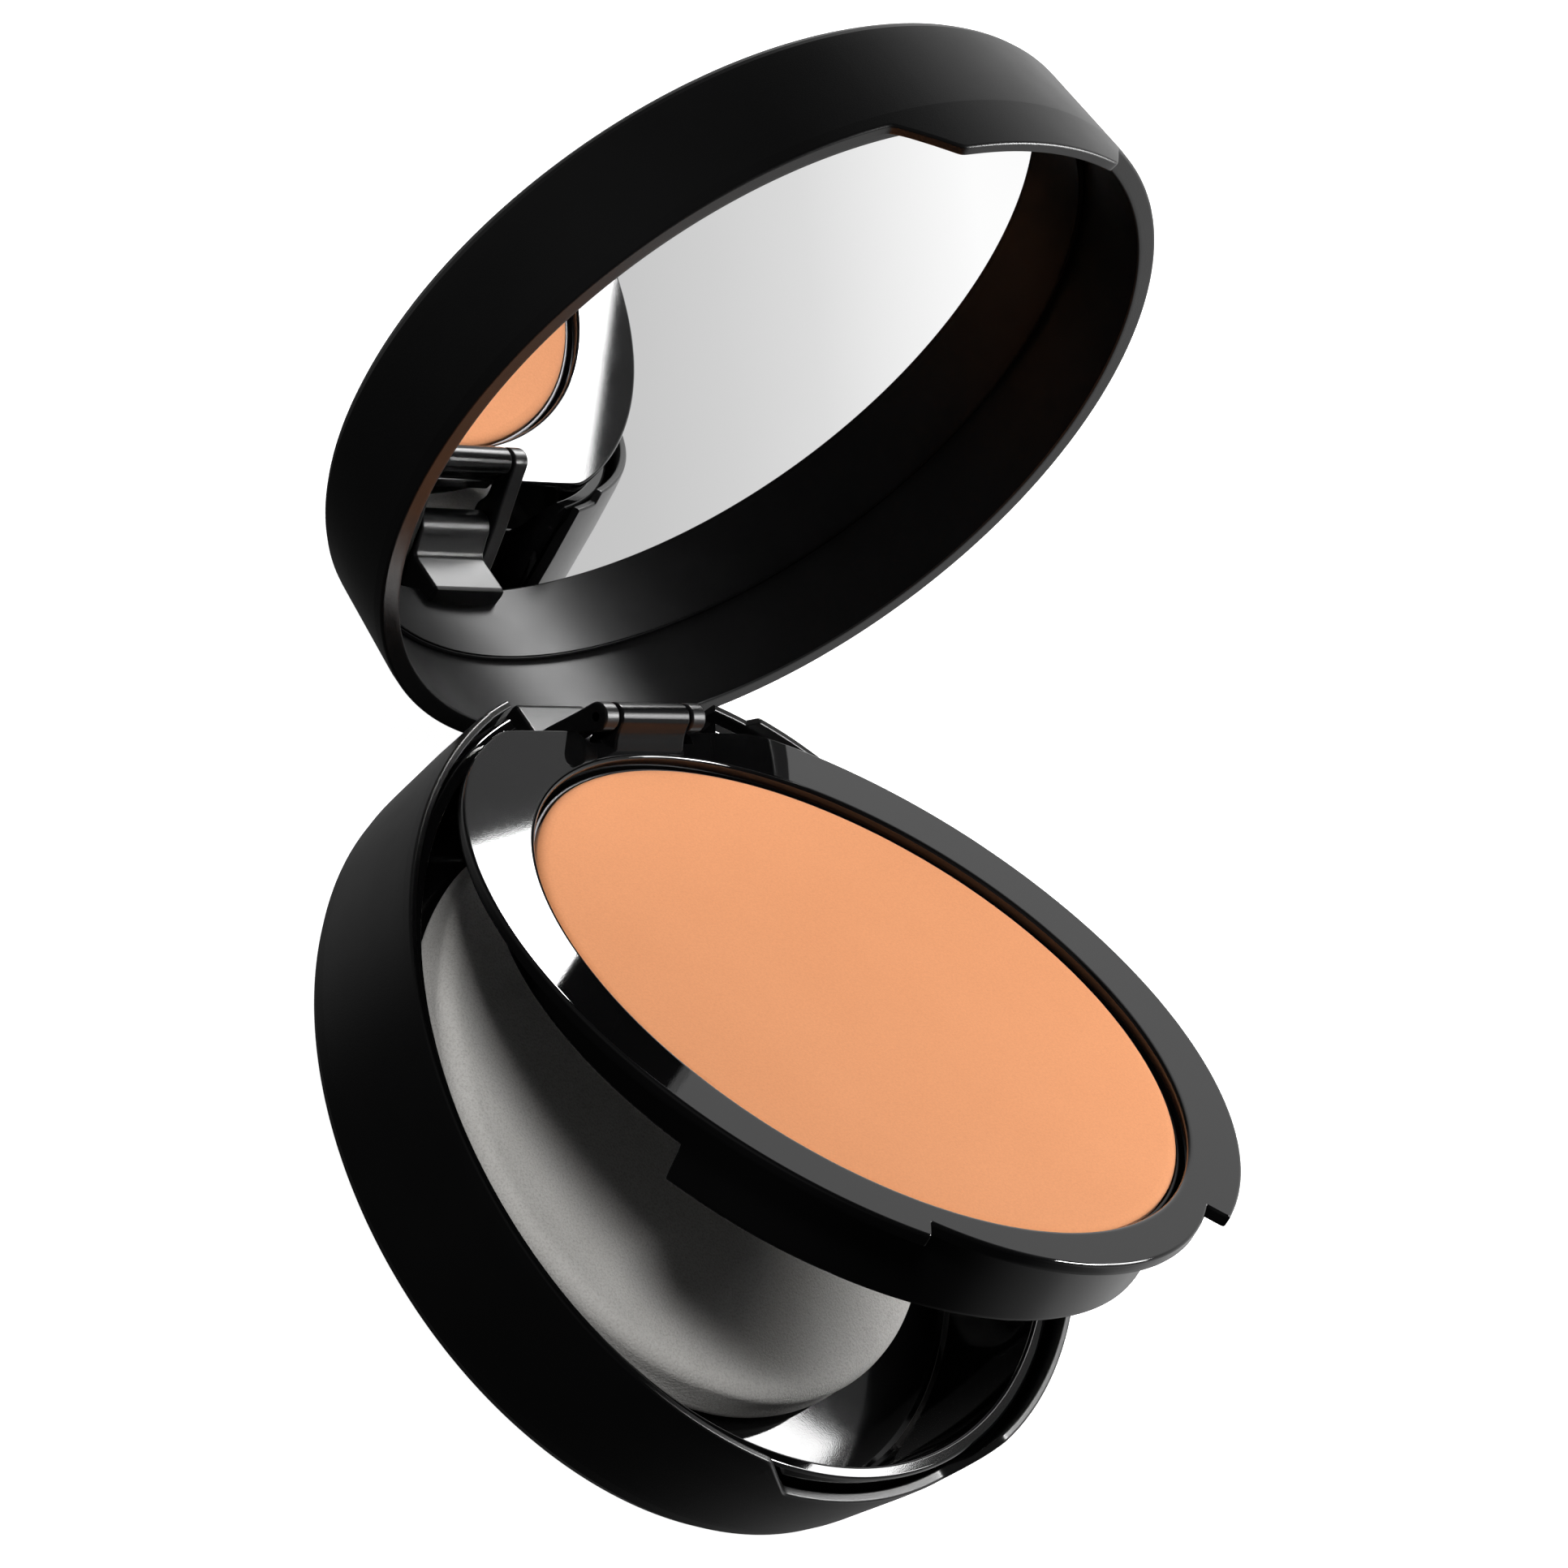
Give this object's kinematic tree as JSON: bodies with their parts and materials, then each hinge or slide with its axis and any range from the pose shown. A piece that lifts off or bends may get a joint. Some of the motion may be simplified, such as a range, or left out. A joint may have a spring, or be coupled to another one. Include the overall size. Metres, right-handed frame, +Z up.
{
  "type": "powder compact",
  "caption": "Round hinged powder compact standing open, with a mirror lid, a raised tray of pressed powder and an applicator sponge in the base well.",
  "frame": {"origin": "centre of the underside, on the flush face of the round label", "axes": "+Z up, -Y toward the thumb notch at the front, +Y toward the hinges, +X to the right seen from the front"},
  "size_m": [0.076, 0.1072, 0.079],
  "materials": {
    "case_black": "satin black moulded plastic",
    "inner_black": "semi-gloss black moulded plastic",
    "tray_black": "polished black moulded plastic",
    "label": "matte blank label",
    "steel": "drawn wire pin",
    "sponge": null,
    "adhesive": "double-sided tape",
    "pan_metal": "pressed thin metal dish",
    "powder": null,
    "mirror": "silvered glass",
    "pad_foam": "foam tape"
  },
  "bodies": {
    "base": {"base_shell": "case_black", "base_liner": "inner_black", "base_label": "label", "lid_hinge_pin": "steel", "tray_hinge_pin": "steel", "applicator_sponge": "sponge"},
    "tray": {"tray_frame": "tray_black", "pan_adhesive": "adhesive", "powder_pan": "pan_metal", "powder_cake": "powder"},
    "lid": {"lid_shell": "case_black", "lid_liner": "inner_black", "mirror_glass": "mirror", "mirror_pad": "pad_foam"}
  },
  "joints": [
    {"name": "lid_hinge", "type": "hinge", "parent": "base", "child": "lid", "pos_m": [0, 0.033, 0.0114], "axis": [-1, 0, 0], "range_deg": [-106.9, 2]},
    {"name": "tray_hinge", "type": "hinge", "parent": "base", "child": "tray", "pos_m": [0, 0.0327, 0.0179], "axis": [-1, 0, 0], "range_deg": [-25.05, 0.47]}
  ],
  "couplings": [
    {"joint": "tray_hinge", "follows": "lid_hinge", "ratio": 0.23433}
  ]
}
